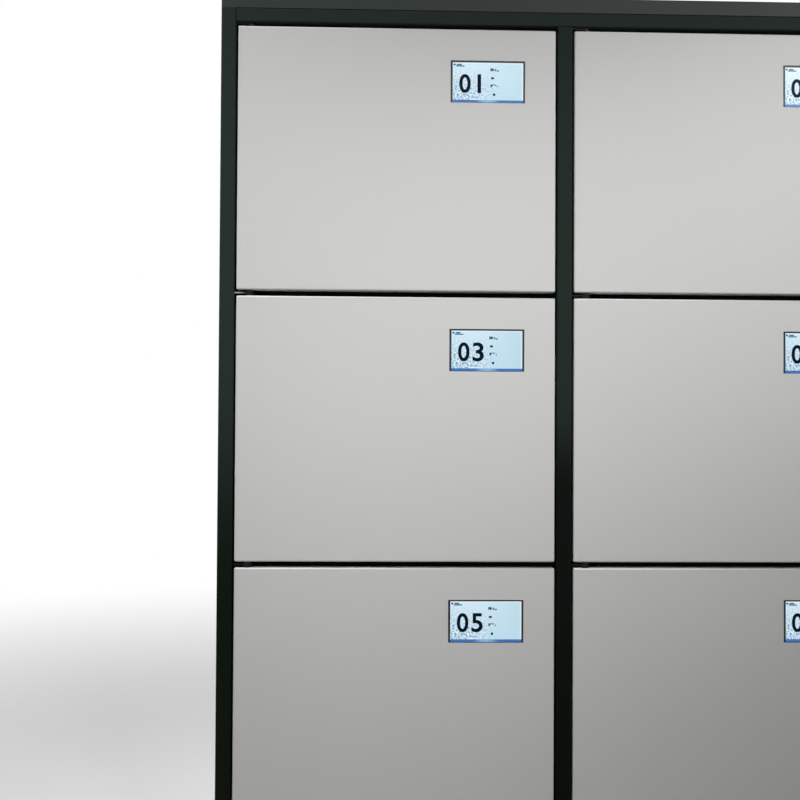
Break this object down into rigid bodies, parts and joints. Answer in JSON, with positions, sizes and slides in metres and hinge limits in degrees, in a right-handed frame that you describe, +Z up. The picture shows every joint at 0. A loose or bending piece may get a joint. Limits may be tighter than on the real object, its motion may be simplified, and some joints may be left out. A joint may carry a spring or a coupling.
{
  "type": "smart storage cabinet",
  "caption": "Steel locker cabinet with rows of hinged doors in a dark frame, a small numbered screen on each door and electric hook locks.",
  "frame": {"origin": "under the middle of the cabinet on the floor plane", "axes": "+X to the right seen from the front, +Y to the back (the doors face -Y), +Z up"},
  "size_m": [0.92, 0.5, 1.25],
  "materials": {
    "left_side_panel": "satin powder coat, dark graphite",
    "right_side_panel": "satin powder coat, dark graphite",
    "roof_panel": "satin powder coat, dark graphite",
    "floor_panel": "satin powder coat, dark graphite",
    "centre_partition": "satin powder coat, dark graphite",
    "back_panel": "satin powder coat, dark graphite",
    "rear_service_cover": "satin powder coat, dark graphite",
    "left_post": "satin powder coat, dark graphite",
    "centre_post": "satin powder coat, dark graphite",
    "right_post": "satin powder coat, dark graphite",
    "cross_rails": "satin powder coat, dark graphite",
    "shelves": "satin powder coat, dark graphite",
    "plinth": "satin powder coat, dark graphite",
    "foot_pads": "matt",
    "hinge_brackets": "zinc plated",
    "hinge_pins": "zinc plated",
    "hinge_bushes": "natural nylon",
    "lock_housings": "fine matt",
    "lock_solenoids": "zinc plated",
    "control_board": "solder mask",
    "power_supply": "satin",
    "power_inlet": "fine matt",
    "wiring_harness": "soft sheath",
    "screws": "zinc plated",
    "door_01_shell": "satin powder coat, light grey",
    "door_01_liner": "satin powder coat, light grey",
    "door_01_display_housing": "fine matt",
    "door_01_display_screen": "lit screen",
    "door_01_strike": "zinc plated",
    "lock_hook_01": "zinc plated",
    "door_02_shell": "satin powder coat, light grey",
    "door_02_liner": "satin powder coat, light grey",
    "door_02_display_housing": "fine matt",
    "door_02_display_screen": "lit screen",
    "door_02_strike": "zinc plated",
    "lock_hook_02": "zinc plated",
    "door_03_shell": "satin powder coat, light grey",
    "door_03_liner": "satin powder coat, light grey",
    "door_03_display_housing": "fine matt",
    "door_03_display_screen": "lit screen",
    "door_03_strike": "zinc plated",
    "lock_hook_03": "zinc plated",
    "door_04_shell": "satin powder coat, light grey",
    "door_04_liner": "satin powder coat, light grey",
    "door_04_display_housing": "fine matt",
    "door_04_display_screen": "lit screen",
    "door_04_strike": "zinc plated",
    "lock_hook_04": "zinc plated",
    "door_05_shell": "satin powder coat, light grey",
    "door_05_liner": "satin powder coat, light grey",
    "door_05_display_housing": "fine matt",
    "door_05_display_screen": "lit screen",
    "door_05_strike": "zinc plated",
    "lock_hook_05": "zinc plated",
    "door_06_shell": "satin powder coat, light grey",
    "door_06_liner": "satin powder coat, light grey",
    "door_06_display_housing": "fine matt",
    "door_06_display_screen": "lit screen",
    "door_06_strike": "zinc plated",
    "lock_hook_06": "zinc plated"
  },
  "bodies": {
    "cabinet": {"left_side_panel": "left_side_panel", "right_side_panel": "right_side_panel", "roof_panel": "roof_panel", "floor_panel": "floor_panel", "centre_partition": "centre_partition", "back_panel": "back_panel", "rear_service_cover": "rear_service_cover", "left_post": "left_post", "centre_post": "centre_post", "right_post": "right_post", "cross_rails": "cross_rails", "shelves": "shelves", "plinth": "plinth", "foot_pads": "foot_pads", "hinge_brackets": "hinge_brackets", "hinge_pins": "hinge_pins", "hinge_bushes": "hinge_bushes", "lock_housings": "lock_housings", "lock_solenoids": "lock_solenoids", "control_board": "control_board", "power_supply": "power_supply", "power_inlet": "power_inlet", "wiring_harness": "wiring_harness", "screws": "screws"},
    "door_01": {"door_01_shell": "door_01_shell", "door_01_liner": "door_01_liner", "door_01_display_housing": "door_01_display_housing", "door_01_display_screen": "door_01_display_screen", "door_01_strike": "door_01_strike"},
    "lock_hook_01": {"lock_hook_01": "lock_hook_01"},
    "door_02": {"door_02_shell": "door_02_shell", "door_02_liner": "door_02_liner", "door_02_display_housing": "door_02_display_housing", "door_02_display_screen": "door_02_display_screen", "door_02_strike": "door_02_strike"},
    "lock_hook_02": {"lock_hook_02": "lock_hook_02"},
    "door_03": {"door_03_shell": "door_03_shell", "door_03_liner": "door_03_liner", "door_03_display_housing": "door_03_display_housing", "door_03_display_screen": "door_03_display_screen", "door_03_strike": "door_03_strike"},
    "lock_hook_03": {"lock_hook_03": "lock_hook_03"},
    "door_04": {"door_04_shell": "door_04_shell", "door_04_liner": "door_04_liner", "door_04_display_housing": "door_04_display_housing", "door_04_display_screen": "door_04_display_screen", "door_04_strike": "door_04_strike"},
    "lock_hook_04": {"lock_hook_04": "lock_hook_04"},
    "door_05": {"door_05_shell": "door_05_shell", "door_05_liner": "door_05_liner", "door_05_display_housing": "door_05_display_housing", "door_05_display_screen": "door_05_display_screen", "door_05_strike": "door_05_strike"},
    "lock_hook_05": {"lock_hook_05": "lock_hook_05"},
    "door_06": {"door_06_shell": "door_06_shell", "door_06_liner": "door_06_liner", "door_06_display_housing": "door_06_display_housing", "door_06_display_screen": "door_06_display_screen", "door_06_strike": "door_06_strike"},
    "lock_hook_06": {"lock_hook_06": "lock_hook_06"}
  },
  "joints": [
    {"name": "door_01_hinge", "type": "hinge", "parent": "cabinet", "child": "door_01", "pos_m": [-0.421, -0.2415, 1.03], "axis": [0, 0, -1], "range_deg": [0, 110]},
    {"name": "lock_01_pivot", "type": "hinge", "parent": "cabinet", "child": "lock_hook_01", "pos_m": [-0.025, -0.187, 1.018], "axis": [-1, 0, 0], "range_deg": [0, 20]},
    {"name": "door_02_hinge", "type": "hinge", "parent": "cabinet", "child": "door_02", "pos_m": [0.029, -0.2415, 1.03], "axis": [0, 0, -1], "range_deg": [0, 110]},
    {"name": "lock_02_pivot", "type": "hinge", "parent": "cabinet", "child": "lock_hook_02", "pos_m": [0.425, -0.187, 1.018], "axis": [-1, 0, 0], "range_deg": [0, 20]},
    {"name": "door_03_hinge", "type": "hinge", "parent": "cabinet", "child": "door_03", "pos_m": [-0.421, -0.2415, 0.67], "axis": [0, 0, -1], "range_deg": [0, 110]},
    {"name": "lock_03_pivot", "type": "hinge", "parent": "cabinet", "child": "lock_hook_03", "pos_m": [-0.025, -0.187, 0.658], "axis": [-1, 0, 0], "range_deg": [0, 20]},
    {"name": "door_04_hinge", "type": "hinge", "parent": "cabinet", "child": "door_04", "pos_m": [0.029, -0.2415, 0.67], "axis": [0, 0, -1], "range_deg": [0, 110]},
    {"name": "lock_04_pivot", "type": "hinge", "parent": "cabinet", "child": "lock_hook_04", "pos_m": [0.425, -0.187, 0.658], "axis": [-1, 0, 0], "range_deg": [0, 20]},
    {"name": "door_05_hinge", "type": "hinge", "parent": "cabinet", "child": "door_05", "pos_m": [-0.421, -0.2415, 0.31], "axis": [0, 0, -1], "range_deg": [0, 110]},
    {"name": "lock_05_pivot", "type": "hinge", "parent": "cabinet", "child": "lock_hook_05", "pos_m": [-0.025, -0.187, 0.298], "axis": [-1, 0, 0], "range_deg": [0, 20]},
    {"name": "door_06_hinge", "type": "hinge", "parent": "cabinet", "child": "door_06", "pos_m": [0.029, -0.2415, 0.31], "axis": [0, 0, -1], "range_deg": [0, 110]},
    {"name": "lock_06_pivot", "type": "hinge", "parent": "cabinet", "child": "lock_hook_06", "pos_m": [0.425, -0.187, 0.298], "axis": [-1, 0, 0], "range_deg": [0, 20]}
  ]
}
